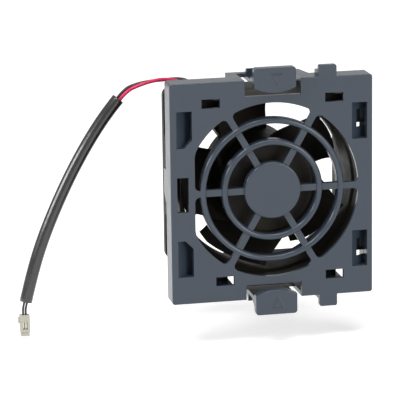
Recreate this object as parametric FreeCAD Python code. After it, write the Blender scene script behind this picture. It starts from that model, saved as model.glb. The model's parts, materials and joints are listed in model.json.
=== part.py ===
import FreeCAD, Part
import math
import os

# Server fan module, in millimetres.
# The origin is on the fan's axis, in the plane of the bezel's front face.
# +X is to the right and +Z up as seen from the front, and +Y goes into the chassis.

V = FreeCAD.Vector
os.makedirs("parts", exist_ok=True)

# Fits and gaps
press_gap = 0.02
seat_gap = 0.05
free_gap = 0.3

# Bezel moulding
bezel_side_margin = 5.6
bezel_end_margin = 9.5
front_wall = 2.0
rim_wall = 1.8
rim_depth = 10.5
corner_radius = 1.2
edge_round = 0.5

# Round air opening with its flat on the left
opening_margin = 0.7
flat_margin = 2.35
flat_blend = 9.0
window_round = 2.2

# Finger grille
hub_disc_radius = 12.7
hub_disc_proud = 1.0
hub_disc_round = 0.8
hub_disc_wall = 1.8
inner_ring_radius = 21.4
outer_ring_radius = 31.1
ring_width = 2.7
ring_crown = 0.6
ring_depth = 4.2
spoke_count = 6
spoke_width = 2.9
spoke_front = 0.4
spoke_back = 3.2

# Latches in the top and bottom edges
latch_centre_x = 0.5
notch_width = 25.2
notch_depth = 7.1
tongue_root_width = 37.8
tongue_tip_width = 33.4
tongue_end_y = 21.0
latch_pivot_y = 16.0
latch_width = 18.8
latch_wall = 1.8
button_front_y = -5.0
button_back_y = -1.2
button_wall = 1.5
button_proud = 6.1
button_height = 11.3
button_arc_rise = 2.3
button_corner = 1.4
hook_front_y = 10.4
hook_top_length = 1.2
hook_height = 3.3
hook_ramp_end_y = 15.0

# Keying tabs beside the latches
tab_centre_x = 25.3
tab_width = 8.0
tab_reach = 5.2
tab_thickness = 2.5
tab_round = 0.9
tab_step_height = 2.2
tab_step_end_y = 8.0

# Ramped finger pockets beside the opening
pocket_width = 7.0
pocket_low_z = 20.8
pocket_high_z = 37.2
pocket_depth = 6.0
pocket_floor = 1.2
pocket_side_wall = 1.2
pocket_left_overhang = 2.8
pocket_right_inset = 3.8
pocket_chamfer = 3.6

# Snap arms that hold the fan
arm_wall = 1.6
arm_width = 7.6
arm_tip_run = 3.2
arm_nose_flat = 1.0
nose_overlap = 1.4
core_hole_width = 8.2
core_hole_inset = 1.9
core_hole_overhang = 2.15
top_left_arm_x = -27.3
top_right_arm_x = 28.2
bottom_left_arm_x = -21.7
bottom_right_arm_x = 28.2
side_hook_z = 29.4
side_hook_width = 7.6
side_hook_wall_width = 15.0
side_hook_wall = 1.6
stay_width = 15.2
stay_end_y = 24.0
stay_end_slant = 4.0
stay_pad_length = 4.0
stay_slot_width = 5.1
stay_slot_height = 15.6
stay_slot_overhang = 0.2
post_radius = 2.6
post_bore_radius = 1.2
post_side_inset = 6.8
post_end_inset = 5.6

# Fan frame
fan_size = 80.0
fan_front_y = 8.0
fan_depth = 38.0
flange_thickness = 4.0
frame_corner_round = 4.0
duct_inset = 0.2
duct_wall = 1.3
lip_run = 2.0
lip_flare = 1.0
outlet_radius = 44.0
outlet_side_wall = 0.8
outlet_run = 17.0
screw_hole_inset = 4.25
screw_hole_radius = 2.15
strut_count = 4
strut_first_angle = 35.0
strut_width = 3.2
strut_edge_width = 1.2
strut_depth = 4.5
lead_strut_angle = 125.0
lead_strut_width = 6.0
lead_channel_width = 4.2
lead_channel_depth = 2.8
lead_slot_start = 6.5
lead_slot_depth = 3.6
motor_base_wall = 2.0
motor_base_rim = 1.2
motor_base_depth = 5.6
motor_boss_radius = 6.2
motor_boss_height = 2.6

# Impeller
hub_radius = 21.4
hub_front_gap = 1.2
hub_wall = 1.2
hub_round = 1.5
hub_back_gap = 0.8
blade_count = 5
blade_tip_gap = 0.8
blade_front_gap = 5.0
blade_back_gap = 12.0
blade_thickness = 1.5
blade_edge_thickness = 0.6
blade_camber = 2.6
blade_corner_run = 3.0
blade_corner_drop = 1.4
# Radius of each blade section, and the angles of its front and back edges about the axis
blade_sections = [(15.0, 96.0, 1.0), (23.0, 80.0, 4.5), (31.0, 60.5, 8.8), (43.0, 53.0, 5.0)]

# Motor
yoke_wall = 1.0
yoke_end_gap = 3.0
magnet_wall = 1.6
magnet_length = 20.0
magnet_inset = 2.5
bushing_radius = 3.2
bushing_length = 4.5
shaft_radius = 1.5
shaft_end_gap = 1.4
bearing_radius = 4.0
bearing_width = 4.0
bearing_ring_wall = 0.62
ball_radius = 0.56
ball_count = 7
front_bearing_depth = 0.6
rear_bearing_depth = 9.6
tube_wall = 1.0
tube_front_gap = 10.0
clip_thickness = 0.6
clip_radius = 2.7
clip_groove_depth = 0.3
clip_opening = 1.2
spring_strip = 0.25
spring_turns = 4
spring_outer_radius = 2.9
spring_inner_radius = 2.3
spring_crests = 3
spring_crest_width = 0.8
air_gap = 0.4
stator_poles = 4
stator_front_gap = 10.8
stator_length = 12.0
stator_ring_wall = 2.0
tooth_width = 3.2
shoe_wall = 1.5
shoe_angle = 72.0
former_wall = 0.8
coil_width = 7.8
coil_end_height = 1.6
coil_length = 4.6
coil_round = 1.2
board_margin = 1.2
board_thickness = 1.0
board_depth = 3.7
board_leg_radius = 0.55
board_leg_angle = 25.0
driver_size = (5.0, 1.2, 4.0)
driver_orbit = 8.0
driver_angle = 20.0
capacitor_radius = 1.5
capacitor_height = 2.0
capacitor_orbit = 10.5
resistor_size = (2.0, 0.6, 1.2)
resistor_orbit = 10.5
resistor_angle = 196.0
sensor_size = (3.0, 1.2, 3.0)
sensor_orbit = 11.0
sensor_angle = 90.0

# Leads, sleeve and connector
lead_diameter = 1.6
sleeve_diameter = 5.7
tail_diameter = 1.0
arc_share = 0.45
red_lead_route = [
    (-5.33, 42.30, 6.04),
    (-8.19, 42.70, 10.13),
    (-11.35, 44.30, 14.64),
    (-16.80, 44.90, 22.42),
    (-22.53, 45.00, 30.61),
    (-29.40, 44.75, 40.44),
    (-33.60, 43.00, 42.90),
    (-40.20, 41.20, 44.20),
    (-46.55, 38.60, 43.87),
    (-52.58, 36.90, 42.55),
    (-57.70, 36.00, 40.62),
    (-60.96, 36.00, 36.86),
]
black_lead_route = [
    (-3.85, 42.30, 7.07),
    (-6.72, 42.70, 11.17),
    (-9.87, 44.30, 15.67),
    (-15.32, 44.90, 23.45),
    (-21.06, 45.00, 31.64),
    (-26.51, 44.90, 39.43),
    (-31.20, 44.40, 44.40),
    (-39.50, 42.50, 45.65),
    (-47.03, 39.90, 45.27),
    (-53.85, 37.60, 44.45),
    (-58.94, 36.00, 41.74),
    (-62.23, 36.00, 37.97),
]
sleeve_route = [
    (-61.60, 36.00, 37.40),
    (-66.85, 36.00, 31.36),
    (-75.45, 35.70, 19.07),
    (-84.10, 35.20, 4.40),
    (-91.70, 34.60, -10.80),
    (-98.45, 34.00, -26.40),
    (-103.40, 33.50, -41.60),
    (-106.10, 33.30, -52.30),
]
tail_first_route = [
    (-106.70, 33.30, -52.16),
    (-107.52, 33.24, -55.45),
    (-107.52, 33.24, -58.40),
]
tail_second_route = [
    (-105.50, 33.30, -52.46),
    (-106.32, 33.24, -55.75),
    (-106.32, 33.24, -58.40),
]
plug_width = 4.4
plug_depth = 3.4
plug_length = 9.6
plug_collar_width = 5.2
plug_collar_length = 2.6
plug_collar_drop = 0.9
plug_nose_width = 3.9
plug_nose_length = 1.8
contact_pitch = 1.2
contact_width = 0.7
cavity_width = 0.9
cavity_length = 7.6
plug_window_length = 3.4
plug_window_drop = 3.2
plug_step = 0.3
contact_recess = 0.8

# Sizes that follow from the ones above
fan_half = fan_size / 2
fan_back_y = fan_front_y + fan_depth
half_width = fan_half + bezel_side_margin
half_height = fan_half + bezel_end_margin
bezel_width = 2 * half_width
bezel_height = 2 * half_height
duct_radius = fan_half - duct_inset
bore_radius = duct_radius - duct_wall
opening_radius = bore_radius + opening_margin
flat_distance = outer_ring_radius + ring_width / 2 + flat_margin
pocket_left_x = -fan_half - pocket_left_overhang
pocket_right_x = fan_half - pocket_right_inset
core_hole_low = fan_half - core_hole_inset
core_hole_high = fan_half + core_hole_overhang
flange_back_y = fan_front_y + flange_thickness
nose_y = flange_back_y + free_gap
latch_pivot_z = half_height - latch_wall / 2
motor_base_front_y = fan_back_y - motor_base_depth
hub_front_y = fan_front_y + hub_front_gap
hub_back_y = motor_base_front_y - hub_back_gap
blade_front_y = fan_front_y + blade_front_gap
blade_back_y = fan_back_y - blade_back_gap
blade_tip_radius = bore_radius - blade_tip_gap
yoke_radius = hub_radius - hub_wall - seat_gap
yoke_front_y = hub_front_y + hub_wall + seat_gap
yoke_length = hub_back_y - yoke_end_gap - yoke_front_y
magnet_radius = yoke_radius - yoke_wall - seat_gap
magnet_bore = magnet_radius - magnet_wall
stator_radius = magnet_bore - air_gap
tube_bore = bearing_radius + press_gap
tube_radius = tube_bore + tube_wall
boss_bore = tube_radius + press_gap
stator_bore = tube_radius + press_gap
motor_floor_y = fan_back_y - motor_base_wall
shaft_end_y = motor_floor_y - shaft_end_gap
tube_front_y = fan_front_y + tube_front_gap
front_bearing_y = tube_front_y + front_bearing_depth
rear_bearing_y = fan_back_y - rear_bearing_depth
stator_front_y = fan_front_y + stator_front_gap
board_front_y = motor_floor_y - board_depth
board_radius = hub_radius - motor_base_rim - board_margin
bearing_bore = shaft_radius + press_gap
ring_track = (bearing_bore + bearing_radius) / 2
lead_channel_y = fan_back_y - lead_channel_depth


def box(x0, x1, y0, y1, z0, z1):
    return Part.makeBox(x1 - x0, y1 - y0, z1 - z0, V(x0, y0, z0))


def disc(radius, y0, y1, x=0.0, z=0.0):
    return Part.makeCylinder(radius, y1 - y0, V(x, y0, z), V(0, 1, 0))


def tube(outer, inner, y0, y1):
    return disc(outer, y0, y1).cut(disc(inner, y0 - 1, y1 + 1))


def face_of(points):
    return Part.Face(Part.makePolygon([*points, points[0]]))


def turned(shape, degrees):
    """The shape turned about the fan's axis, anticlockwise as seen from the front."""
    copy = shape.copy()
    copy.rotate(V(0, 0, 0), V(0, -1, 0), degrees)
    return copy


def mirrored_down(shape):
    return shape.mirror(V(0, 0, 0), V(0, 0, 1))


def revolved(edges):
    return Part.Face(Part.Wire(edges)).revolve(V(0, 0, 0), V(0, 1, 0), 360)


def line(a, b):
    return Part.LineSegment(V(*a), V(*b)).toShape()


def arc(a, b, c):
    return Part.Arc(V(*a), V(*b), V(*c)).toShape()


def prism_xz(points, y0, y1):
    return face_of([V(x, y0, z) for x, z in points]).extrude(V(0, y1 - y0, 0))


def prism_xy(points, z0, z1):
    return face_of([V(x, y, z0) for x, y in points]).extrude(V(0, 0, z1 - z0))


def prism_yz(points, x0, x1):
    return face_of([V(x0, y, z) for y, z in points]).extrude(V(x1 - x0, 0, 0))


def along_y(edge):
    a, b = edge.Vertexes[0].Point, edge.Vertexes[-1].Point
    return abs(a.x - b.x) < 1e-4 and abs(a.z - b.z) < 1e-4 and abs(a.y - b.y) > 1e-4


def rounded_block(width, height, radius, y0, y1):
    block = box(-width / 2, width / 2, y0, y1, -height / 2, height / 2)
    return block.makeFillet(radius, [e for e in block.Edges if along_y(e)])


# ---------------------------------------------------------------- bezel


def bezel_shell():
    shell = rounded_block(bezel_width, bezel_height, corner_radius, 0, rim_depth)
    front = [e for e in shell.Edges if e.BoundBox.YMax < 1e-6]
    shell = shell.makeFillet(edge_round, front)
    inner_radius = max(corner_radius - rim_wall, 0.4)
    cavity = rounded_block(
        bezel_width - 2 * rim_wall, bezel_height - 2 * rim_wall, inner_radius, front_wall, rim_depth + 1
    )
    return shell.cut(cavity)


def opening_prism():
    """The air opening's outline: a circle with a blended flat on its left."""
    circle = disc(opening_radius, -5, rim_depth)
    outline = circle.common(
        box(-flat_distance, opening_radius + 1, -6, rim_depth + 1, -opening_radius - 1, opening_radius + 1)
    )
    corner_z = math.sqrt(opening_radius**2 - flat_distance**2)
    corners = [
        e
        for e in outline.Edges
        if along_y(e)
        and abs(e.Vertexes[0].X + flat_distance) < 1e-3
        and abs(abs(e.Vertexes[0].Z) - corner_z) < 1e-3
    ]
    return outline.makeFillet(flat_blend, corners)


def spoke(index, width, r0, r1, y0, y1):
    bar = box(r0, r1, y0, y1, -width / 2, width / 2)
    return turned(bar, index * 360 / spoke_count)


def air_windows():
    """The outer openings between the spokes, with rounded corners at the plate."""
    windows = opening_prism().cut(disc(outer_ring_radius, -6, rim_depth + 1))
    for i in range(spoke_count):
        windows = windows.cut(spoke(i, spoke_width, 0, opening_radius + 2, -6, rim_depth + 1))
    corners = []
    for edge in windows.Edges:
        if not along_y(edge):
            continue
        x, z = edge.Vertexes[0].X, edge.Vertexes[0].Z
        if math.hypot(x, z) < (outer_ring_radius + flat_distance) / 2:
            continue
        for i in range(spoke_count):
            a = math.radians(i * 360 / spoke_count)
            on_axis = x * math.cos(a) + z * math.sin(a) > 0
            if on_axis and abs(abs(x * math.sin(a) - z * math.cos(a)) - spoke_width / 2) < 1e-3:
                corners.append(edge)
                break
    return windows.makeFillet(window_round, corners)


def grille_ring(mid_radius):
    r0, r1 = mid_radius - ring_width / 2, mid_radius + ring_width / 2
    shoulder = spoke_front
    return revolved(
        [
            arc((r0, shoulder, 0), (mid_radius, -ring_crown, 0), (r1, shoulder, 0)),
            line((r1, shoulder, 0), (r1, ring_depth, 0)),
            line((r1, ring_depth, 0), (r0, ring_depth, 0)),
            line((r0, ring_depth, 0), (r0, shoulder, 0)),
        ]
    )


def hub_disc():
    r, front, q = hub_disc_radius, -hub_disc_proud, hub_disc_round
    bend = q * (1 - math.sqrt(0.5))
    inner = r - hub_disc_wall
    floor = front + hub_disc_wall
    return revolved(
        [
            line((0, front, 0), (r - q, front, 0)),
            arc((r - q, front, 0), (r - bend, front + bend, 0), (r, front + q, 0)),
            line((r, front + q, 0), (r, spoke_back, 0)),
            line((r, spoke_back, 0), (inner, spoke_back, 0)),
            line((inner, spoke_back, 0), (inner, floor, 0)),
            line((inner, floor, 0), (0, floor, 0)),
            line((0, floor, 0), (0, front, 0)),
        ]
    )


def grille():
    pieces = [grille_ring(inner_ring_radius), grille_ring(outer_ring_radius)]
    for i in range(spoke_count):
        start = hub_disc_radius - hub_disc_wall / 2
        pieces.append(spoke(i, spoke_width, start, outer_ring_radius, spoke_front, spoke_back))
    return hub_disc().multiFuse(pieces)


def top_tongue():
    """The wall behind the rim that carries the latch, narrower towards its end."""
    root, tip, x = tongue_root_width / 2, tongue_tip_width / 2, latch_centre_x
    start = rim_depth - edge_round
    outline = [(x - root, start), (x + root, start), (x + tip, tongue_end_y), (x - tip, tongue_end_y)]
    return prism_xy(outline, half_height - rim_wall, half_height)


def top_notch():
    end_y = latch_pivot_y + latch_wall / 2 + free_gap
    half = notch_width / 2
    floor = half_height - notch_depth
    return box(
        latch_centre_x - half, latch_centre_x + half, -1, end_y, floor, half_height + 1
    )


def top_tab():
    x0, x1 = tab_centre_x - tab_width / 2, tab_centre_x + tab_width / 2
    low = half_height - rim_wall
    tab = box(x0, x1, 0, tab_thickness, low, half_height + tab_reach)
    outer = [e for e in tab.Edges if along_y(e) and e.Vertexes[0].Z > half_height]
    tab = tab.makeFillet(tab_round, outer)
    step = box(x0, x1, edge_round, tab_step_end_y, low, half_height + tab_step_height)
    return tab.fuse(step)


def pocket_outline(x0, chamfered, y0, y1):
    x1 = x0 + pocket_width
    points = [(x0, pocket_low_z), (x1, pocket_low_z), (x1, pocket_high_z), (x0, pocket_high_z)]
    if chamfered:
        points[1:2] = [(x1 - pocket_chamfer, pocket_low_z), (x1, pocket_low_z + pocket_chamfer)]
    return prism_xz(points, y0, y1)


def pocket_housing(x0):
    x1 = x0 + pocket_width + pocket_side_wall
    z0, z1 = pocket_low_z - pocket_side_wall, pocket_high_z + pocket_side_wall
    deep = pocket_depth + pocket_floor
    outline = [(x0, edge_round), (x1, edge_round), (x1, deep), (x1 - pocket_side_wall, deep), (x0, front_wall)]
    return prism_xy(outline, z0, z1)


def pocket_hollow(x0, chamfered):
    x1 = x0 + pocket_width
    wedge = prism_xy([(x0, -1), (x1, -1), (x1, pocket_depth), (x0, 0)], pocket_low_z, pocket_high_z)
    return wedge.common(pocket_outline(x0, chamfered, -1, pocket_depth + 1))


def fan_arm(x):
    """An upper arm that snaps over the front flange of the fan frame."""
    low = core_hole_high + seat_gap
    nose = fan_half - nose_overlap
    arm = box(x - arm_width / 2, x + arm_width / 2, edge_round, nose_y + arm_tip_run, low, low + arm_wall)
    tip = [(nose_y, low), (nose_y, nose), (nose_y + arm_nose_flat, nose), (nose_y + arm_tip_run, low)]
    return arm.fuse(prism_yz(tip, x - arm_width / 2, x + arm_width / 2))


def core_hole(x):
    half = core_hole_width / 2
    return box(x - half, x + half, -1, front_wall + 1, core_hole_low, core_hole_high)


def side_hook():
    """A fixed hook on the right rim, and the hole in front of it."""
    z0, z1 = side_hook_z - side_hook_width / 2, side_hook_z + side_hook_width / 2
    face = half_width - rim_wall
    nose = fan_half - nose_overlap
    end = nose_y + arm_tip_run
    wall_z0 = side_hook_z - side_hook_wall_width / 2
    wall = box(face, half_width, rim_depth - edge_round, end, wall_z0, wall_z0 + side_hook_wall_width)
    tip = [(face, nose_y), (nose, nose_y), (nose, nose_y + arm_nose_flat), (face, end)]
    return wall.fuse(prism_xy(tip, z0, z1))


def side_hook_hole():
    half = core_hole_width / 2
    x1 = pocket_right_x + pocket_width
    x0 = fan_half - seat_gap - arm_nose_flat
    deep = pocket_depth + pocket_floor + 1
    return box(x0, x1 - seat_gap, -1, deep, side_hook_z - half, side_hook_z + half)


def stay_arm():
    """The long springy stay on the left, which centres the fan."""
    face = half_width - rim_wall
    x0, x1 = -face - seat_gap, -face + side_hook_wall - seat_gap
    half = stay_width / 2
    slant_y, slant_z = stay_end_y - stay_end_slant, stay_end_slant - half
    side = [(edge_round, half), (stay_end_y, half), (stay_end_y, slant_z), (slant_y, -half), (edge_round, -half)]
    arm = box(x0, x1, edge_round, stay_end_y, -half, half)
    pad_x = -duct_radius - free_gap
    pad_y = stay_end_y - stay_pad_length / 2
    pad = [(x1, stay_end_y), (x1, pad_y - 2 * stay_pad_length), (pad_x, pad_y - stay_pad_length), (pad_x, pad_y)]
    return arm.fuse(prism_xy(pad, -half, half)).common(prism_yz(side, x0, x0 + half))


def stay_slot():
    half_w, half_h = stay_slot_width / 2, stay_slot_height / 2
    x = -fan_half - stay_slot_overhang
    return box(x - half_w, x + half_w, -1, front_wall + 1, -half_h, half_h)


def seat_posts():
    posts = []
    for x in (post_side_inset - fan_half, fan_half - post_side_inset):
        for z in (post_end_inset - fan_half, fan_half - post_end_inset):
            post = disc(post_radius, edge_round, fan_front_y, x, z)
            hole = disc(post_bore_radius, front_wall, fan_front_y + 1, x, z)
            posts.append(post.cut(hole))
    return posts


def bezel():
    top_pieces = [top_tongue(), top_tab(), pocket_housing(pocket_left_x), pocket_housing(pocket_right_x)]
    top_pieces += [side_hook()]
    bottom_pieces = [mirrored_down(p) for p in top_pieces]
    top_pieces += [fan_arm(top_left_arm_x), fan_arm(top_right_arm_x)]
    bottom_pieces += [mirrored_down(fan_arm(x)) for x in (bottom_left_arm_x, bottom_right_arm_x)]
    body = bezel_shell().multiFuse([*top_pieces, *bottom_pieces, *seat_posts(), stay_arm()])
    top_cuts = [top_notch(), pocket_hollow(pocket_left_x, True), pocket_hollow(pocket_right_x, False)]
    top_cuts += [side_hook_hole()]
    bottom_cuts = [mirrored_down(c) for c in top_cuts]
    top_cuts += [core_hole(top_left_arm_x), core_hole(top_right_arm_x)]
    bottom_cuts += [mirrored_down(core_hole(x)) for x in (bottom_left_arm_x, bottom_right_arm_x)]
    cuts = [*top_cuts, *bottom_cuts, stay_slot(), air_windows(), disc(outer_ring_radius, -5, rim_depth)]
    for cut in cuts:
        body = body.cut(cut)
    return body.fuse(grille()).removeSplitter()


# ---------------------------------------------------------------- latches


def button_outline(inset, y0, y1):
    """The button's face: square outer corners rounded, inner edge an arc."""
    x0 = latch_centre_x - latch_width / 2 + inset
    x1 = latch_centre_x + latch_width / 2 - inset
    top = half_height + button_proud - inset
    side = half_height + button_proud - button_height + button_arc_rise + inset
    low = half_height + button_proud - button_height + inset
    edges = [
        line((x0, y0, side), (x0, y0, top)),
        line((x0, y0, top), (x1, y0, top)),
        line((x1, y0, top), (x1, y0, side)),
        arc((x1, y0, side), (latch_centre_x, y0, low), (x0, y0, side)),
    ]
    block = Part.Face(Part.Wire(edges)).extrude(V(0, y1 - y0, 0))
    outer = [e for e in block.Edges if along_y(e) and e.Vertexes[0].Z > top - 1e-3]
    return block.makeFillet(button_corner - inset / 2, outer)


def latch():
    """The top latch: button, springy arm and hook in one moulding."""
    x0, x1 = latch_centre_x - latch_width / 2, latch_centre_x + latch_width / 2
    arm_low, arm_high = half_height - latch_wall, half_height
    button = button_outline(0, button_front_y, button_back_y)
    front = [e for e in button.Edges if e.BoundBox.YMax < button_front_y + 1e-6]
    button = button.makeFillet(edge_round, front)
    hollow = button_outline(button_wall, button_front_y + button_wall, button_back_y + 1)
    button = button.cut(hollow)
    arm = box(x0, x1, button_front_y + button_wall / 2, latch_pivot_y, arm_low, arm_high)
    roll = Part.makeCylinder(latch_wall / 2, x1 - x0, V(x0, latch_pivot_y, latch_pivot_z), V(1, 0, 0))
    hook_top = half_height + hook_height
    hook_points = [
        (hook_front_y, arm_high - edge_round),
        (hook_front_y, hook_top),
        (hook_front_y + hook_top_length, hook_top),
        (hook_ramp_end_y, arm_high - edge_round),
    ]
    hook = prism_yz(hook_points, x0, x1)
    ribs = []
    for x in (x0, x1 - button_wall):
        rib_points = [
            (button_back_y - edge_round, arm_high - edge_round),
            (button_back_y - edge_round, arm_high + button_proud / 2),
            (button_back_y + button_proud, arm_high - edge_round),
        ]
        ribs.append(prism_yz(rib_points, x, x + button_wall))
    return button.multiFuse([arm, roll, hook, *ribs]).removeSplitter()


# ---------------------------------------------------------------- fan frame


def duct_form(wall):
    """The duct's space grown by a wall: round, and flared into the frame's corners at the outlet."""
    radius, reach = bore_radius + wall, fan_half - outlet_side_wall + min(wall, outlet_side_wall)
    start, slope = fan_back_y - outlet_run, (outlet_radius - bore_radius) / outlet_run
    end_radius = radius + slope * (outlet_run + 1)
    flare = Part.makeCone(radius, end_radius, outlet_run + 1, V(0, start, 0), V(0, 1, 0))
    flare = flare.common(box(-reach, reach, start, fan_back_y + 1, -reach, reach))
    return disc(radius, fan_front_y - 1, fan_back_y + 1).fuse(flare)


def strut(width, degrees):
    start, end = hub_radius - motor_base_rim / 2, outlet_radius + duct_wall / 2
    front_y = fan_back_y - strut_depth
    half, edge = width / 2, strut_edge_width / 2
    points = [(fan_back_y, -half), (fan_back_y, half), (front_y, width / 2 - edge), (front_y, -edge)]
    return turned(prism_yz(points, start, end), degrees)


def lead_channel():
    """The channel for the leads along the wide strut and across the rear flange."""
    half = lead_channel_width / 2
    slot_y = fan_back_y - lead_slot_depth
    inner = box(lead_slot_start, hub_radius + free_gap, slot_y, fan_back_y + 1, -half, half)
    outer = box(hub_radius, fan_size, lead_channel_y, fan_back_y + 1, -half, half)
    return turned(inner.fuse(outer), lead_strut_angle)


def screw_holes():
    d = fan_half - screw_hole_inset
    corners = [(x, z) for x in (-d, d) for z in (-d, d)]
    return [disc(screw_hole_radius, fan_front_y - 1, fan_back_y + 1, x, z) for x, z in corners]


def fan_frame():
    front = rounded_block(fan_size, fan_size, frame_corner_round, fan_front_y, flange_back_y)
    rear = rounded_block(fan_size, fan_size, frame_corner_round, fan_back_y - flange_thickness, fan_back_y)
    whole = box(-fan_half, fan_half, fan_front_y, fan_back_y, -fan_half, fan_half)
    duct = duct_form(duct_wall).common(whole)
    body = front.multiFuse([rear, duct]).cut(duct_form(0))
    flare = Part.makeCone(bore_radius + lip_flare, bore_radius, lip_run, V(0, fan_front_y, 0), V(0, 1, 0))
    body = body.cut(flare)
    base = disc(hub_radius, motor_base_front_y, fan_back_y)
    base = base.cut(disc(hub_radius - motor_base_rim, motor_base_front_y - 1, motor_floor_y))
    boss = tube(motor_boss_radius, boss_bore, motor_floor_y - motor_boss_height, motor_floor_y)
    struts = []
    for i in range(strut_count):
        degrees = strut_first_angle + i * 360 / strut_count
        wide = abs(degrees - lead_strut_angle) < 1
        struts.append(strut(lead_strut_width if wide else strut_width, degrees).common(duct))
    body = body.multiFuse([base, boss, *struts])
    for cut in [lead_channel(), *screw_holes()]:
        body = body.cut(cut)
    return body.removeSplitter()


# ---------------------------------------------------------------- rotor


def blade_section(radius, front_angle, back_angle):
    """A cambered blade section whose front and back edges lie at one radius."""
    half_sweep = math.radians(front_angle - back_angle) / 2
    x, reach = radius * math.cos(half_sweep), radius * math.sin(half_sweep)
    front = V(x, blade_front_y, reach)
    back = V(x, blade_back_y, -reach)
    chord = back.sub(front)
    side = V(0, -chord.z, chord.y).normalize()
    centre = (front + back) * 0.5
    edge = side * (blade_edge_thickness / 2)
    upper = centre + side * (blade_camber + blade_thickness / 2)
    lower = centre + side * (blade_camber - blade_thickness / 2)
    wire = Part.Wire(
        [
            Part.Arc(front + edge, upper, back + edge).toShape(),
            Part.LineSegment(back + edge, back - edge).toShape(),
            Part.Arc(back - edge, lower, front - edge).toShape(),
            Part.LineSegment(front - edge, front + edge).toShape(),
        ]
    )
    return turned(wire, (front_angle + back_angle) / 2)


def blades():
    blade = Part.makeLoft([blade_section(*section) for section in blade_sections], True, False)
    low, front_y, back_y = hub_radius - hub_wall / 2, blade_front_y - 5, blade_back_y + 5
    corner_y = blade_back_y - blade_corner_run
    end_radius = blade_tip_radius - blade_corner_drop * (back_y - corner_y) / blade_corner_run
    space = revolved(
        [
            line((low, front_y, 0), (blade_tip_radius, front_y, 0)),
            line((blade_tip_radius, front_y, 0), (blade_tip_radius, corner_y, 0)),
            line((blade_tip_radius, corner_y, 0), (end_radius, back_y, 0)),
            line((end_radius, back_y, 0), (low, back_y, 0)),
            line((low, back_y, 0), (low, front_y, 0)),
        ]
    )
    blade = blade.common(space)
    return [turned(blade, i * 360 / blade_count) for i in range(blade_count)]


def impeller():
    r, front, q = hub_radius, hub_front_y, hub_round
    bend = q * (1 - math.sqrt(0.5))
    inner, floor = r - hub_wall, front + hub_wall
    cup = revolved(
        [
            line((0, front, 0), (r - q, front, 0)),
            arc((r - q, front, 0), (r - bend, front + bend, 0), (r, front + q, 0)),
            line((r, front + q, 0), (r, hub_back_y, 0)),
            line((r, hub_back_y, 0), (inner, hub_back_y, 0)),
            line((inner, hub_back_y, 0), (inner, floor, 0)),
            line((inner, floor, 0), (0, floor, 0)),
            line((0, floor, 0), (0, front, 0)),
        ]
    )
    return cup.multiFuse(blades()).removeSplitter()


def rotor_yoke():
    end = yoke_front_y + yoke_length
    floor = yoke_front_y + yoke_wall
    cup = disc(yoke_radius, yoke_front_y, end).cut(disc(yoke_radius - yoke_wall, floor, end + 1))
    return cup.cut(disc(bushing_radius + press_gap, yoke_front_y - 1, floor + 1))


def magnet_ring():
    start = yoke_front_y + yoke_wall + magnet_inset
    return tube(magnet_radius, magnet_bore, start, start + magnet_length)


def shaft_bushing():
    start = yoke_front_y
    return tube(bushing_radius, shaft_radius + press_gap, start, start + bushing_length)


def shaft():
    groove_y = rear_bearing_y + bearing_width + seat_gap
    groove = tube(shaft_radius + 1, shaft_radius - clip_groove_depth, groove_y, groove_y + clip_thickness)
    return disc(shaft_radius, yoke_front_y, shaft_end_y).cut(groove)


def retaining_clip():
    start = rear_bearing_y + bearing_width + seat_gap + press_gap
    bore = shaft_radius - clip_groove_depth + press_gap
    clip = tube(clip_radius, bore, start, start + clip_thickness - 2 * press_gap)
    gap = box(0, clip_radius + 1, start - 1, start + 2, -clip_opening / 2, clip_opening / 2)
    return clip.cut(gap)


def preload_spring():
    """The wave spring between the front bearing and the rotor: flat turns that meet at crests."""
    start = yoke_front_y + bushing_length
    pitch = (front_bearing_y - start - spring_strip) / (spring_turns - 1)
    pieces = []
    for i in range(spring_turns):
        y = start + i * pitch
        pieces.append(tube(spring_outer_radius, spring_inner_radius, y, y + spring_strip))
    half = spring_crest_width / 2
    for i in range(spring_turns - 1):
        y = start + i * pitch + spring_strip / 2
        crest = box(spring_inner_radius, spring_outer_radius - spring_strip, y, y + pitch, -half, half)
        for k in range(spring_crests):
            pieces.append(turned(crest, (k + i / 2) * 360 / spring_crests))
    return pieces[0].multiFuse(pieces[1:]).removeSplitter()


def bearing_outer_ring(y0):
    return tube(bearing_radius, bearing_radius - bearing_ring_wall, y0, y0 + bearing_width)


def bearing_inner_ring(y0):
    return tube(bearing_bore + bearing_ring_wall, bearing_bore, y0, y0 + bearing_width)


def bearing_balls(y0):
    y = y0 + bearing_width / 2
    ball = Part.makeSphere(ball_radius, V(ring_track, y, 0))
    return Part.makeCompound([turned(ball, i * 360 / ball_count) for i in range(ball_count)])


# ---------------------------------------------------------------- stator


def bearing_tube():
    return tube(tube_radius, tube_bore, tube_front_y, motor_floor_y)


def sector(outer, inner, degrees, y0, y1):
    """A curved piece of a ring, its middle on +X."""
    section = face_of([V(inner, y0, 0), V(outer, y0, 0), V(outer, y1, 0), V(inner, y1, 0)])
    return turned(section.revolve(V(0, 0, 0), V(0, -1, 0), degrees), -degrees / 2)


def core_outline(margin, y0, y1):
    """The four-pole core: ring, teeth and curved shoes, grown by a margin."""
    ring = tube(stator_bore + stator_ring_wall + margin, stator_bore, y0, y1)
    shoe_inner = stator_radius - shoe_wall - margin
    half = tooth_width / 2 + margin
    pole = box(stator_bore + stator_ring_wall / 2, stator_radius - shoe_wall / 2, y0, y1, -half, half)
    shoe = sector(stator_radius, shoe_inner, shoe_angle, y0, y1)
    pieces = [turned(p, i * 360 / stator_poles) for i in range(stator_poles) for p in (pole, shoe)]
    return ring.multiFuse(pieces).removeSplitter()


def stator_core():
    return core_outline(0, stator_front_y, stator_front_y + stator_length)


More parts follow.
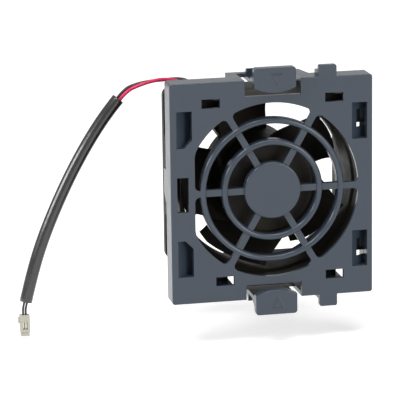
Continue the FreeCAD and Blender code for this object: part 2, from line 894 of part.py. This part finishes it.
def coil_former():
    """Insulating end plates on the core, with legs that carry the board."""
    back = stator_front_y + stator_length
    front_plate = core_outline(former_wall / 4, stator_front_y - former_wall, stator_front_y)
    rear_plate = core_outline(former_wall / 4, back, back + former_wall)
    legs = []
    for i in range(stator_poles):
        leg = disc(board_leg_radius, back, board_front_y, stator_radius - shoe_wall / 2, 0)
        legs.append(turned(leg, board_leg_angle + i * 360 / stator_poles))
    return front_plate, rear_plate, legs


def coil_windings():
    y0 = stator_front_y - former_wall - coil_end_height
    y1 = stator_front_y + stator_length + former_wall + coil_end_height
    r1 = stator_radius - shoe_wall - former_wall - seat_gap
    r0 = r1 - coil_length
    core = tooth_width / 2 + former_wall / 4 + seat_gap
    outer = box(r0, r1, y0, y1, -coil_width / 2, coil_width / 2)
    outer = outer.makeFillet(coil_round, [e for e in outer.Edges if abs(e.Vertexes[0].X - e.Vertexes[-1].X) > 1])
    inner = box(r0 - 1, r1 + 1, y0 + coil_end_height - seat_gap, y1 - coil_end_height + seat_gap, -core, core)
    coil = outer.cut(inner)
    return Part.makeCompound([turned(coil, i * 360 / stator_poles) for i in range(stator_poles)])


def circuit_board():
    board = tube(board_radius, motor_boss_radius + free_gap, board_front_y, board_front_y + board_thickness)
    return board


def chip(size, orbit, degrees, y0):
    length, height, width = size
    return turned(box(orbit, orbit + length, y0, y0 + height, -width / 2, width / 2), degrees)


def board_components():
    back = board_front_y + board_thickness
    capacitor = disc(capacitor_radius, back, back + capacitor_height, 0, -capacitor_orbit)
    driver = chip(driver_size, driver_orbit, driver_angle, back)
    resistor = chip(resistor_size, resistor_orbit, resistor_angle, back)
    sensor = chip(sensor_size, sensor_orbit, sensor_angle, board_front_y - sensor_size[1])
    return Part.makeCompound([driver, capacitor, resistor, sensor])


# ---------------------------------------------------------------- cable


def cord(route, diameter, name):
    """A round cord along straight runs joined by tangent arcs, with its length and radii printed."""
    points = [V(*p) for p in route]
    edges, radii, start = [], [], points[0]
    for before, corner, after in zip(points, points[1:], points[2:]):
        to_corner, from_corner = (corner - before), (after - corner)
        shorter = min(to_corner.Length, from_corner.Length)
        turn = to_corner.getAngle(from_corner)
        cut_back = arc_share * shorter
        radii.append(cut_back / math.tan(turn / 2))
        a = corner - to_corner.normalize() * cut_back
        b = corner + from_corner.normalize() * cut_back
        inward = (a + b) * 0.5 - corner
        gap = radii[-1] * (1 / math.cos(turn / 2) - 1)
        middle = corner + inward.normalize() * gap
        edges.append(Part.LineSegment(start, a).toShape())
        edges.append(Part.Arc(a, middle, b).toShape())
        start = b
    edges.append(Part.LineSegment(start, points[-1]).toShape())
    path = Part.Wire(edges)
    circle = Part.Circle(points[0], points[1] - points[0], diameter / 2)
    solid = path.makePipeShell([Part.Wire(circle.toShape())], True, False)
    expected = math.pi * diameter**2 / 4 * path.Length
    radii_text = ", ".join(f"{r:.1f}" for r in radii)
    share = solid.Volume / expected
    print(f"{name}: {path.Length:.1f} mm long, volume share {share:.4f}, radii {radii_text}")
    return solid


def plug_frame():
    """The centre of the plug's top face."""
    first, second = V(*tail_first_route[-1]), V(*tail_second_route[-1])
    return (first + second) * 0.5


def contact_places():
    centre = plug_frame()
    return [centre.x - contact_pitch / 2, centre.x + contact_pitch / 2]


def connector_housing():
    c = plug_frame()
    y0, y1 = c.y - plug_depth / 2, c.y + plug_depth / 2
    nose_top = c.z - plug_length + plug_nose_length
    half = plug_width / 2
    body = box(c.x - half, c.x + half, y0, y1, nose_top, c.z)
    half = plug_nose_width / 2
    nose = box(c.x - half, c.x + half, y0 + plug_step, y1 - plug_step, c.z - plug_length, c.z)
    collar_top = c.z - plug_collar_drop
    left = c.x + plug_width / 2 - plug_collar_width
    collar = box(left, c.x, y0 + 2 * plug_step, y1 - 2 * plug_step, collar_top - plug_collar_length, collar_top)
    body = body.multiFuse([nose, collar])
    for x in contact_places():
        half = cavity_width / 2
        low = c.z - plug_length
        body = body.cut(box(x - half, x + half, c.y - half, c.y + half, low - 1, low + cavity_length))
        window_top = c.z - plug_window_drop
        body = body.cut(box(x - half, x + half, y0 - 1, c.y, window_top - plug_window_length, window_top))
    return body.removeSplitter()


def connector_terminals():
    c = plug_frame()
    low = c.z - plug_length
    half = contact_width / 2
    contacts = []
    for x in contact_places():
        contacts.append(box(x - half, x + half, c.y - half, c.y + half, low + contact_recess, low + cavity_length))
    return Part.makeCompound(contacts)


def save(name, shape):
    if not shape.isValid():
        print(f"{name}: not valid")
    shape.exportStep(f"parts/{name}.step")
    print(f"{name}: {len(shape.Solids)} solids, {shape.Volume:.1f} mm3, {len(shape.Faces)} faces")


front_plate, rear_plate, former_legs = coil_former()

nodes = {
    "bezel": bezel(),
    "latch_top": latch(),
    "latch_bottom": mirrored_down(latch()),
    "fan_frame": fan_frame(),
    "impeller": impeller(),
    "rotor_yoke": rotor_yoke(),
    "magnet_ring": magnet_ring(),
    "shaft_bushing": shaft_bushing(),
    "shaft": shaft(),
    "retaining_clip": retaining_clip(),
    "preload_spring": preload_spring(),
    "front_bearing_outer_ring": bearing_outer_ring(front_bearing_y),
    "front_bearing_inner_ring": bearing_inner_ring(front_bearing_y),
    "front_bearing_balls": bearing_balls(front_bearing_y),
    "rear_bearing_outer_ring": bearing_outer_ring(rear_bearing_y),
    "rear_bearing_inner_ring": bearing_inner_ring(rear_bearing_y),
    "rear_bearing_balls": bearing_balls(rear_bearing_y),
    "bearing_tube": bearing_tube(),
    "stator_core": stator_core(),
    "coil_former_front": front_plate,
    "coil_former_rear": rear_plate.multiFuse(former_legs).removeSplitter(),
    "coil_windings": coil_windings(),
    "circuit_board": circuit_board(),
    "board_components": board_components(),
    "lead_red": cord(red_lead_route, lead_diameter, "lead_red"),
    "lead_black": cord(black_lead_route, lead_diameter, "lead_black"),
    "cable_sleeve": cord(sleeve_route, sleeve_diameter, "cable_sleeve"),
    "connector_wires": Part.makeCompound(
        [
            cord(tail_first_route, tail_diameter, "first connector wire"),
            cord(tail_second_route, tail_diameter, "second connector wire"),
        ]
    ),
    "connector_housing": connector_housing(),
    "connector_terminals": connector_terminals(),
}

for name, shape in nodes.items():
    save(name, shape)
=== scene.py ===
import json
import math

import bpy
from mathutils import Matrix, Vector

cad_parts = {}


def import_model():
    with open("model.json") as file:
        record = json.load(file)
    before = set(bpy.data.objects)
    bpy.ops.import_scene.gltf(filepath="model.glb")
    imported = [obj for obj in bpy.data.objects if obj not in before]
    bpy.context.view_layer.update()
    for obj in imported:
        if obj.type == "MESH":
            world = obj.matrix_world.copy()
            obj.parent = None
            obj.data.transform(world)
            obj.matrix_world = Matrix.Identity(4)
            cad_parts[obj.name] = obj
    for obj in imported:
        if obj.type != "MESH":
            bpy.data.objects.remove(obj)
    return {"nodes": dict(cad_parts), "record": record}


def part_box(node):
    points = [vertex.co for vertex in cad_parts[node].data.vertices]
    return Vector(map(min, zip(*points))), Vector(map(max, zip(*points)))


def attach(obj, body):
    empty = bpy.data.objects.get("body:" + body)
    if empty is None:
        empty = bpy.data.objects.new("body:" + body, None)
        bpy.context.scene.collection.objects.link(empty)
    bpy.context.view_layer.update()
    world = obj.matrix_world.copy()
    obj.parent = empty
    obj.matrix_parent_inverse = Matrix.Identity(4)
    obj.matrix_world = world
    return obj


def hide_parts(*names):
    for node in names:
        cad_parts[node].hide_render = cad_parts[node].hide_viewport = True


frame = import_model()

# Server fan module: finishes, edges, trim, cords and studio.
# The frame is the CAD's: origin on the fan's axis at the bezel's front face,
# +X to the right, +Z up, +Y into the chassis. Lengths are in metres, apart from
# those that are said to be in millimetres, which are multiplied where they are used.

MM = 0.001

# Camera
CAMERA_PLACE = (-0.273450, -1.139485, 0.276446)
CAMERA_RIGHT = (0.97761179, -0.20996295, -0.01381123)
CAMERA_UP = (0.06204357, 0.22491816, 0.97240034)
CAMERA_LENS = 246.08
CAMERA_SENSOR = 36.0
CAMERA_CLIP_START = 0.01
CAMERA_CLIP_END = 50.0

# Floor and room
FLOOR_DROP = 1.5 * MM
FLOOR_SIZE = 12.0
FLOOR_COLOR = (0.80, 0.80, 0.80)
FLOOR_ROUGHNESS = 0.9
FLOOR_GLOW = 0.55
WORLD_LIGHT = 0.3
ROOM_SEEN = 0.6
WHITE = (1, 1, 1, 1)

# Lamps: place, the point each is aimed at, width and height, and power
LAMPS = {
    "key": {"place": (-0.9, -0.5, 1.3), "target": (0, 0, 0), "size": (0.5, 0.5), "watts": 9},
    "top": {"place": (0.15, -0.4, 1.4), "target": (0, 0, 0), "size": (0.9, 0.4), "watts": 9},
    "front": {"place": (1.0, -1.5, 0.4), "target": (0, 0, 0), "size": (0.8, 0.8), "watts": 12},
    "side": {"place": (-1.3, -0.25, 0.5), "target": (-0.08, 0.03, 0), "size": (0.9, 0.3), "watts": 8},
}

# Edges
SHARP_EDGE = math.radians(35)
WELD_DISTANCE = 0.002 * MM
EDGE_SEGMENTS = 2
FLAT_FACE_WEIGHT = 100
LIP_EDGE = 0.1 * MM
EDGE_WIDTHS = {
    "bezel": 0.4 * MM,
    "latch_top": 0.35 * MM,
    "latch_bottom": 0.35 * MM,
    "fan_frame": 0.3 * MM,
    "impeller": 0.2 * MM,
    "connector_housing": 0.12 * MM,
    "connector_terminals": 0.05 * MM,
}

# The middle of a noise's range, where most of its values lie
NOISE_LOW = 0.3
NOISE_HIGH = 0.7

# Finishes: linear colours, each with the shade that it drifts towards
MOULDED_FINISHES = {
    "slate_plastic": {
        "color": (0.038, 0.051, 0.071),
        "shade": (0.034, 0.046, 0.065),
        "roughness": 0.20,
        "relief": 0.0035 * MM,
        "specular": 0.45,
    },
    "black_plastic": {
        "color": (0.011, 0.0100, 0.0080),
        "shade": (0.030, 0.025, 0.016),
        "roughness": 0.55,
        "grain": 0.5 * MM,
        "specular": 0.22,
    },
    "white_nylon": {
        "color": (0.72, 0.71, 0.66),
        "shade": (0.66, 0.65, 0.60),
        "roughness": 0.45,
    },
    "component_black": {
        "color": (0.02, 0.02, 0.02),
        "shade": (0.03, 0.03, 0.03),
        "roughness": 0.5,
    },
}
METAL_FINISHES = {
    "steel": {"color": (0.56, 0.56, 0.57), "roughness": 0.34},
    "bearing_steel": {"color": (0.70, 0.70, 0.72), "roughness": 0.18},
    "brass": {"color": (0.70, 0.48, 0.20), "roughness": 0.28},
    "tinned_brass": {
        "color": (0.66, 0.62, 0.52),
        "roughness": 0.30,
        "grain": 0.3 * MM,
        "stretch": (1, 1, 1),
    },
}
INSULATION_FINISHES = {
    "red_insulation": {
        "color": (0.74, 0.022, 0.12),
        "shade": (0.62, 0.012, 0.08),
        "roughness": 0.30,
    },
    "black_insulation": {
        "color": (0.012, 0.012, 0.012),
        "shade": (0.02, 0.02, 0.02),
        "roughness": 0.34,
    },
}
IVORY = (0.50, 0.48, 0.415)
IVORY_SHADE = (0.45, 0.425, 0.35)
IVORY_ROUGHNESS = 0.38
IVORY_SCATTER = 0.15
IVORY_SCATTER_RADIUS = (0.8 * MM, 0.6 * MM, 0.4 * MM)
SLEEVE_BLACK = (0.013, 0.013, 0.014)
SLEEVE_SHADE = (0.019, 0.019, 0.020)
SLEEVE_ROUGHNESS = 0.20
SLEEVE_SPECULAR = 0.8
COPPER = (0.42, 0.13, 0.035)
COPPER_SHADE = (0.25, 0.07, 0.02)
COPPER_ROUGHNESS = 0.28
COPPER_METALLIC = 0.8
WIRE_WAVE = 2.2 * MM
WIRE_UNEVENNESS = 0.6
BOARD_GREEN = (0.012, 0.075, 0.030)
BOARD_SHADE = (0.03, 0.13, 0.05)
BOARD_ROUGHNESS = 0.30
FERRITE = (0.03, 0.028, 0.026)
FERRITE_SHADE = (0.05, 0.047, 0.043)
FERRITE_ROUGHNESS = 0.6

# Lip behind the air opening, in millimetres: a ring section that leaves out the
# flat on the left, reaching LIP_REACH degrees each way from +X
LIP_INNER_RADIUS = 39.3
LIP_OUTER_RADIUS = 40.0
LIP_FRONT_Y = 1.8
LIP_BACK_Y = 7.9
LIP_REACH = 140
LIP_STEPS = 140

# Press marks on the latch buttons, in millimetres: base, tip and middle of the
# triangle, then the swelling around it, the wall inside, and their heights
MARK_BASE_Z = 52.5
MARK_TIP_Z = 47.7
MARK_X = 0.9
MARK_HALF_WIDTH = 2.3
MARK_SKIRT = 0.8
MARK_WALL = 0.12
MARK_FACE_Y = -5.0
MARK_SINK = 0.02
MARK_RELIEF = 0.22

# Cords: the routes are in millimetres
CORD_STEPS = 12
CORD_ROUNDNESS = 8
LEAD_DIAMETER = 1.6 * MM
RED_LEAD_LENGTH = 77.8 * MM
BLACK_LEAD_LENGTH = 81.0 * MM
SLEEVE_DIAMETER = 5.7 * MM
SLEEVE_WALL = 0.45 * MM
RED_LEAD_ROUTE = [
    (-5.33, 42.30, 6.04),
    (-8.19, 42.70, 10.13),
    (-11.35, 44.30, 14.64),
    (-16.80, 44.90, 22.42),
    (-22.53, 45.00, 30.61),
    (-29.40, 44.75, 40.44),
    (-33.60, 43.00, 42.90),
    (-40.20, 41.20, 44.20),
    (-46.55, 38.60, 43.87),
    (-52.58, 36.90, 42.55),
    (-57.70, 36.00, 40.62),
    (-60.96, 36.00, 36.86),
]
BLACK_LEAD_ROUTE = [
    (-3.85, 42.30, 7.07),
    (-6.72, 42.70, 11.17),
    (-9.87, 44.30, 15.67),
    (-15.32, 44.90, 23.45),
    (-21.06, 45.00, 31.64),
    (-25.13, 44.62, 40.17),
    (-30.33, 45.20, 43.30),
    (-40.10, 43.80, 43.30),
    (-46.50, 40.50, 43.60),
    (-52.90, 38.60, 43.00),
    (-58.40, 37.50, 41.30),
    (-61.56, 37.50, 37.38),
]
SLEEVE_ROUTE = [
    (-61.60, 36.00, 37.40),
    (-66.85, 36.00, 31.36),
    (-75.45, 35.70, 19.07),
    (-84.10, 35.20, 4.40),
    (-91.70, 34.60, -10.80),
    (-98.45, 34.00, -26.40),
    (-103.40, 33.50, -41.60),
    (-106.10, 33.30, -52.30),
]


# ---------------------------------------------------------------- materials


class Surface:
    """A material built from a Principled shader and a few procedural layers."""

    def __init__(self, name, color, roughness, metallic=0.0, specular=0.5):
        self.material = bpy.data.materials.new(name)
        self.material.use_nodes = True
        self.tree = self.material.node_tree
        self.shader = self.tree.nodes["Principled BSDF"]
        self.shader.inputs["Base Color"].default_value = (*color, 1)
        self.shader.inputs["Roughness"].default_value = roughness
        self.shader.inputs["Metallic"].default_value = metallic
        self.shader.inputs["Specular IOR Level"].default_value = specular
        self.color = color
        self.roughness = roughness
        self.height = None
        self.place = self.node("ShaderNodeTexCoord").outputs["Object"]

    def node(self, kind, **settings):
        made = self.tree.nodes.new(kind)
        for key, value in settings.items():
            setattr(made, key, value)
        return made

    def link(self, source, target):
        self.tree.links.new(source, target)

    def noise(self, size, detail=3.0, roughness=0.5, stretch=(1, 1, 1)):
        """Noise whose features are about size metres across."""
        mapping = self.node("ShaderNodeMapping")
        mapping.inputs["Scale"].default_value = tuple(s / size for s in stretch)
        self.link(self.place, mapping.inputs["Vector"])
        texture = self.node("ShaderNodeTexNoise")
        texture.inputs["Scale"].default_value = 1.0
        texture.inputs["Detail"].default_value = detail
        texture.inputs["Roughness"].default_value = roughness
        self.link(mapping.outputs["Vector"], texture.inputs["Vector"])
        return texture.outputs["Fac"]

    def scaled(self, value, low, high):
        """The middle of a noise's range, spread from low to high."""
        spread = self.node("ShaderNodeMapRange")
        spread.inputs["From Min"].default_value = NOISE_LOW
        spread.inputs["From Max"].default_value = NOISE_HIGH
        spread.inputs["To Min"].default_value = low
        spread.inputs["To Max"].default_value = high
        self.link(value, spread.inputs["Value"])
        return spread.outputs["Result"]

    def vary_color(self, value, shade, amount):
        """Blends the base colour towards a shade by a noise value."""
        blend = self.node("ShaderNodeMix", data_type="RGBA")
        blend.inputs["A"].default_value = (*self.color, 1)
        blend.inputs["B"].default_value = (*shade, 1)
        self.link(self.scaled(value, 0.0, amount), blend.inputs["Factor"])
        self.link(blend.outputs["Result"], self.shader.inputs["Base Color"])

    def vary_roughness(self, value, spread):
        low, high = self.roughness - spread, self.roughness + spread
        self.link(self.scaled(value, low, high), self.shader.inputs["Roughness"])

    def bump(self, value, depth):
        """Adds a layer of relief, depth in metres."""
        relief = self.node("ShaderNodeBump")
        relief.inputs["Strength"].default_value = 1.0
        relief.inputs["Distance"].default_value = depth
        self.link(value, relief.inputs["Height"])
        if self.height is not None:
            self.link(self.height, relief.inputs["Normal"])
        self.height = relief.outputs["Normal"]
        self.link(self.height, self.shader.inputs["Normal"])


def moulded(name, color, shade, roughness, grain=0.35 * MM, relief=0.012 * MM, specular=0.5):
    """Moulded plastic: fine grain, slow unevenness and faint flow marks."""
    surface = Surface(name, color, roughness, specular=specular)
    surface.vary_color(surface.noise(size=18 * MM, detail=4), shade, amount=0.5)
    surface.vary_roughness(surface.noise(size=6 * MM, detail=5), spread=0.05)
    surface.bump(surface.noise(size=25 * MM, detail=1), depth=0.06 * MM)
    surface.bump(surface.noise(size=grain, detail=2, roughness=0.6), depth=relief)
    return surface.material


def metal(name, color, roughness, grain=0.4 * MM, stretch=(1, 12, 1)):
    """Turned or drawn metal with fine marks."""
    surface = Surface(name, color, roughness, metallic=1.0)
    gloss = surface.noise(size=grain, detail=3, roughness=0.6, stretch=stretch)
    marks = surface.noise(size=grain, detail=2, roughness=0.5, stretch=stretch)
    surface.vary_roughness(gloss, spread=0.06)
    surface.bump(marks, depth=0.004 * MM)
    return surface.material


def insulation(name, color, shade, roughness):
    """Smooth extruded wire insulation with faint drawing marks."""
    surface = Surface(name, color, roughness)
    surface.vary_color(surface.noise(size=9 * MM), shade, amount=0.5)
    surface.bump(surface.noise(size=2.5 * MM), depth=0.03 * MM)
    surface.bump(surface.noise(size=0.3 * MM), depth=0.004 * MM)
    return surface.material


def ivory_nylon():
    """Unpainted nylon that lets a little light in."""
    surface = Surface("ivory_nylon", IVORY, IVORY_ROUGHNESS)
    surface.shader.inputs["Subsurface Weight"].default_value = IVORY_SCATTER
    surface.shader.inputs["Subsurface Radius"].default_value = IVORY_SCATTER_RADIUS
    surface.vary_color(surface.noise(size=4 * MM), IVORY_SHADE, amount=0.6)
    surface.bump(surface.noise(size=0.6 * MM), depth=0.01 * MM)
    return surface.material


def sleeving():
    """Soft black sleeving: slightly uneven along its length, satin."""
    surface = Surface("black_sleeve", SLEEVE_BLACK, SLEEVE_ROUGHNESS, specular=SLEEVE_SPECULAR)
    surface.vary_color(surface.noise(size=12 * MM), SLEEVE_SHADE, amount=0.6)
    surface.vary_roughness(surface.noise(size=4 * MM, detail=4), spread=0.07)
    surface.bump(surface.noise(size=7 * MM, detail=2), depth=0.12 * MM)
    surface.bump(surface.noise(size=0.4 * MM), depth=0.006 * MM)
    return surface.material


def copper_winding():
    """Enamelled wire laid side by side."""
    surface = Surface("copper_winding", COPPER, COPPER_ROUGHNESS, metallic=COPPER_METALLIC)
    wave = surface.node("ShaderNodeTexWave", bands_direction="X")
    wave.inputs["Scale"].default_value = 1 / WIRE_WAVE
    wave.inputs["Distortion"].default_value = WIRE_UNEVENNESS
    surface.link(surface.place, wave.inputs["Vector"])
    surface.bump(wave.outputs["Fac"], depth=0.08 * MM)
    surface.vary_color(surface.noise(size=2 * MM), COPPER_SHADE, amount=0.6)
    return surface.material


def circuit_board():
    """Green solder mask, slightly uneven."""
    surface = Surface("green_board", BOARD_GREEN, BOARD_ROUGHNESS)
    surface.vary_color(surface.noise(size=1.5 * MM, detail=2), BOARD_SHADE, amount=0.5)
    surface.bump(surface.noise(size=1.2 * MM, detail=2), depth=0.02 * MM)
    return surface.material


def ferrite():
    """Dull bonded magnet with a grainy face."""
    surface = Surface("ferrite", FERRITE, FERRITE_ROUGHNESS)
    surface.vary_color(surface.noise(size=0.8 * MM), FERRITE_SHADE, amount=0.7)
    surface.bump(surface.noise(size=0.3 * MM), depth=0.02 * MM)
    return surface.material


def finishes():
    """The record's material slots and the finish of each."""
    made = {
        "ivory_nylon": ivory_nylon(),
        "black_sleeve": sleeving(),
        "copper_winding": copper_winding(),
        "green_board": circuit_board(),
        "ferrite": ferrite(),
    }
    for recipe, values in (
        (moulded, MOULDED_FINISHES),
        (metal, METAL_FINISHES),
        (insulation, INSULATION_FINISHES),
    ):
        for name, finish in values.items():
            made[name] = recipe(name, **finish)
    return made


# ---------------------------------------------------------------- pieces and edges


def placed(name, mesh, material):
    """An object in the scene, made of a mesh and one material."""
    piece = bpy.data.objects.new(name, mesh)
    piece.data.materials.append(material)
    bpy.context.scene.collection.objects.link(piece)
    return piece


def mesh_piece(name, points, faces, material):
    """An object in the scene, made of points in metres and faces."""
    mesh = bpy.data.meshes.new(name)
    mesh.from_pydata(points, [], faces)
    return placed(name, mesh, material)


def skin(loops, corners):
    """Quads between successive closed loops of points."""
    faces = []
    for loop in range(loops - 1):
        for i in range(corners):
            a, b = corners * loop + i, corners * loop + (i + 1) % corners
            faces.append((a, b, b + corners, a + corners))
    return faces


def weld(piece):
    """Joins the faces of a solid where their points meet."""
    joined = piece.modifiers.new("weld", "WELD")
    joined.merge_threshold = WELD_DISTANCE


def round_edges(piece, width):
    """Rounds the sharp edges and keeps the flat faces flat."""
    weld(piece)
    bevel = piece.modifiers.new("rounded_edges", "BEVEL")
    bevel.width = width
    bevel.segments = EDGE_SEGMENTS
    bevel.limit_method = "ANGLE"
    bevel.angle_limit = SHARP_EDGE
    bevel.miter_outer = "MITER_ARC"
    piece.data.shade_smooth()
    normals = piece.modifiers.new("flat_faces", "WEIGHTED_NORMAL")
    normals.mode = "FACE_AREA"
    normals.weight = FLAT_FACE_WEIGHT


def shade_by_angle(piece):
    """Smooth over curves and crisp at edges."""
    piece.data.shade_smooth()
    weld(piece)
    split = piece.modifiers.new("crisp_edges", "EDGE_SPLIT")
    split.split_angle = SHARP_EDGE


def dress_cad_pieces(materials):
    """Gives every CAD piece its finish and its edges."""
    for part in frame["record"]["subparts"]:
        piece = frame["nodes"][part["node"]]
        piece.data.materials.clear()
        piece.data.materials.append(materials[part["material_slot"]])
        if part["node"] in EDGE_WIDTHS:
            round_edges(piece, EDGE_WIDTHS[part["node"]])
        else:
            shade_by_angle(piece)


# ---------------------------------------------------------------- inlet lip


def inlet_lip(materials):
    """The fan's inlet lip that reaches the bezel's plate, open across the flat."""
    section = [
        (LIP_INNER_RADIUS, LIP_FRONT_Y), (LIP_OUTER_RADIUS, LIP_FRONT_Y),
        (LIP_OUTER_RADIUS, LIP_BACK_Y), (LIP_INNER_RADIUS, LIP_BACK_Y),
    ]
    corners = len(section)
    points = []
    for step in range(LIP_STEPS + 1):
        angle = math.radians(LIP_REACH * (2 * step / LIP_STEPS - 1))
        points += [(r * math.cos(angle) * MM, y * MM, r * math.sin(angle) * MM) for r, y in section]
    first_end = tuple(range(corners))[::-1]
    last_end = tuple(range(corners * LIP_STEPS, corners * (LIP_STEPS + 1)))
    faces = skin(LIP_STEPS + 1, corners) + [first_end, last_end]
    lip = mesh_piece("inlet_lip", points, faces, materials["black_plastic"])
    round_edges(lip, LIP_EDGE)
    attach(lip, "housing")


# ---------------------------------------------------------------- press marks


def triangle(inset, y):
    """The mark's triangle, pointing down, shrunk evenly by an inset."""
    height = MARK_BASE_Z - MARK_TIP_Z
    slope = math.hypot(MARK_HALF_WIDTH, height)
    inner_radius = MARK_HALF_WIDTH * height / (MARK_HALF_WIDTH + slope)
    share = 1 - inset / inner_radius
    incentre_z = MARK_BASE_Z - inner_radius
    corners = [(-MARK_HALF_WIDTH, MARK_BASE_Z), (MARK_HALF_WIDTH, MARK_BASE_Z), (0, MARK_TIP_Z)]
    return [(MARK_X + x * share, y, incentre_z + (z - incentre_z) * share) for x, z in corners]


def press_mark(name, body, side, material):
    """A triangle on a latch button: a faint swelling up to its outline and a steep wall inside."""
    face, crest = MARK_FACE_Y + MARK_SINK, MARK_FACE_Y - MARK_RELIEF
    loops = [triangle(-MARK_SKIRT, face), triangle(0, crest), triangle(MARK_WALL, face)]
    points = [(x * MM, y * MM, side * z * MM) for loop in loops for x, y, z in loop]
    faces = skin(len(loops), len(loops[0]))
    if side < 0:
        faces = [quad[::-1] for quad in faces]
    mark = mesh_piece(name, points, faces, material)
    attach(mark, body)


def press_marks(materials):
    press_mark("press_mark_top", "latch_top", 1, materials["slate_plastic"])
    press_mark("press_mark_bottom", "latch_bottom", -1, materials["slate_plastic"])


# ---------------------------------------------------------------- cords


def cord_line(name, route):
    """The cord's own line: one smooth spline with the route's points as its control points."""
    curve = bpy.data.curves.new(name, "CURVE")
    curve.dimensions = "3D"
    spline = curve.splines.new("NURBS")
    spline.points.add(len(route) - 1)
    for point, (x, y, z) in zip(spline.points, route):
        point.co = (x * MM, y * MM, z * MM, 1)
    spline.order_u = 3
    spline.use_endpoint_u = True
    spline.resolution_u = CORD_STEPS
    return curve


def mesh_of(curve):
    """The mesh that a curve makes: its line, or its tube once it has a thickness."""
    holder = bpy.data.objects.new(curve.name, curve)
    mesh = bpy.data.meshes.new_from_object(holder)
    bpy.data.objects.remove(holder)
    return mesh


def cord_tube(name, route, diameter, material, capped):
    """A smooth round tube along the route, and the points of the line that it follows."""
    curve = cord_line(name, route)
    path = [tuple(v.co) for v in mesh_of(curve).vertices]
    curve.bevel_depth = diameter / 2
    curve.bevel_resolution = CORD_ROUNDNESS
    curve.use_fill_caps = capped
    tube = placed(name, mesh_of(curve), material)
    tube.data.shade_smooth()
    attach(tube, "housing")
    return tube, path


def leads(materials):
    """The two leads: closed tubes from the motor to the sleeve."""
    for name, node, route, length, slot in (
        ("red_lead", "lead_red", RED_LEAD_ROUTE, RED_LEAD_LENGTH, "red_insulation"),
        ("black_lead", "lead_black", BLACK_LEAD_ROUTE, BLACK_LEAD_LENGTH, "black_insulation"),
    ):
        lead, path = cord_tube(name, route, LEAD_DIAMETER, materials[slot], True)
        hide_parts(node)


def sleeve(materials):
    """The sleeving is a thin tube, open at both ends."""
    piece, path = cord_tube("sleeve", SLEEVE_ROUTE, SLEEVE_DIAMETER, materials["black_sleeve"], False)
    wall = piece.modifiers.new("wall", "SOLIDIFY")
    wall.thickness = SLEEVE_WALL
    wall.offset = -1
    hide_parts("cable_sleeve")


# ---------------------------------------------------------------- studio


def camera():
    data = bpy.data.cameras.new("camera")
    data.sensor_width = CAMERA_SENSOR
    data.lens = CAMERA_LENS
    data.clip_start = CAMERA_CLIP_START
    data.clip_end = CAMERA_CLIP_END
    made = bpy.data.objects.new("camera", data)
    bpy.context.scene.collection.objects.link(made)
    right, up = Vector(CAMERA_RIGHT), Vector(CAMERA_UP)
    turn = Matrix((right, up, right.cross(up))).transposed()
    made.matrix_world = Matrix.Translation(CAMERA_PLACE) @ turn.to_4x4()
    bpy.context.scene.camera = made


def seen_or_reflected(tree):
    """1 where a surface is looked at, straight or in a reflection, and 0 where it only gives light."""
    ray = tree.nodes.new("ShaderNodeLightPath")
    either = tree.nodes.new("ShaderNodeMath")
    either.operation = "MAXIMUM"
    tree.links.new(ray.outputs["Is Camera Ray"], either.inputs[0])
    tree.links.new(ray.outputs["Is Glossy Ray"], either.inputs[1])
    return either.outputs["Value"]


def floor_material():
    """A pale floor that glows a little where it is seen, and keeps the object's shadow."""
    material = bpy.data.materials.new("floor")
    material.use_nodes = True
    tree = material.node_tree
    shader = tree.nodes["Principled BSDF"]
    shader.inputs["Base Color"].default_value = (*FLOOR_COLOR, 1)
    shader.inputs["Roughness"].default_value = FLOOR_ROUGHNESS
    shader.inputs["Specular IOR Level"].default_value = 0.0
    strength = tree.nodes.new("ShaderNodeMath")
    strength.operation = "MULTIPLY"
    strength.inputs[1].default_value = FLOOR_GLOW
    tree.links.new(seen_or_reflected(tree), strength.inputs[0])
    glow = tree.nodes.new("ShaderNodeEmission")
    glow.inputs["Color"].default_value = WHITE
    tree.links.new(strength.outputs["Value"], glow.inputs["Strength"])
    both = tree.nodes.new("ShaderNodeAddShader")
    tree.links.new(shader.outputs[0], both.inputs[0])
    tree.links.new(glow.outputs[0], both.inputs[1])
    tree.links.new(both.outputs[0], tree.nodes["Material Output"].inputs["Surface"])
    return material


def floor():
    low = min(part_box(node)[0].z for node in frame["nodes"])
    half, z = FLOOR_SIZE / 2, low - FLOOR_DROP
    points = [(-half, -half, z), (half, -half, z), (half, half, z), (-half, half, z)]
    made = mesh_piece("floor", points, [(0, 1, 2, 3)], floor_material())


def softbox(name, place, target, size, watts):
    data = bpy.data.lights.new(name, "AREA")
    data.shape = "RECTANGLE"
    data.size, data.size_y = size
    data.energy = watts
    made = bpy.data.objects.new(name, data)
    bpy.context.scene.collection.objects.link(made)
    made.location = place
    aim = Vector(target) - Vector(place)
    made.rotation_euler = aim.to_track_quat("-Z", "Y").to_euler()


def lights():
    for name, lamp in LAMPS.items():
        softbox(name, **lamp)


def world():
    """Even light all round, and a pale room where it is seen."""
    made = bpy.data.worlds.new("studio")
    made.use_nodes = True
    tree = made.node_tree
    strength = tree.nodes.new("ShaderNodeMapRange")
    strength.inputs["To Min"].default_value = WORLD_LIGHT
    strength.inputs["To Max"].default_value = ROOM_SEEN
    tree.links.new(seen_or_reflected(tree), strength.inputs["Value"])
    back = tree.nodes["Background"]
    back.inputs["Color"].default_value = WHITE
    tree.links.new(strength.outputs["Result"], back.inputs["Strength"])
    bpy.context.scene.world = made


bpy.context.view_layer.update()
materials = finishes()
dress_cad_pieces(materials)
inlet_lip(materials)
press_marks(materials)
leads(materials)
sleeve(materials)
camera()
floor()
lights()
world()
bpy.context.scene.view_settings.view_transform = "Standard"
bpy.context.view_layer.update()
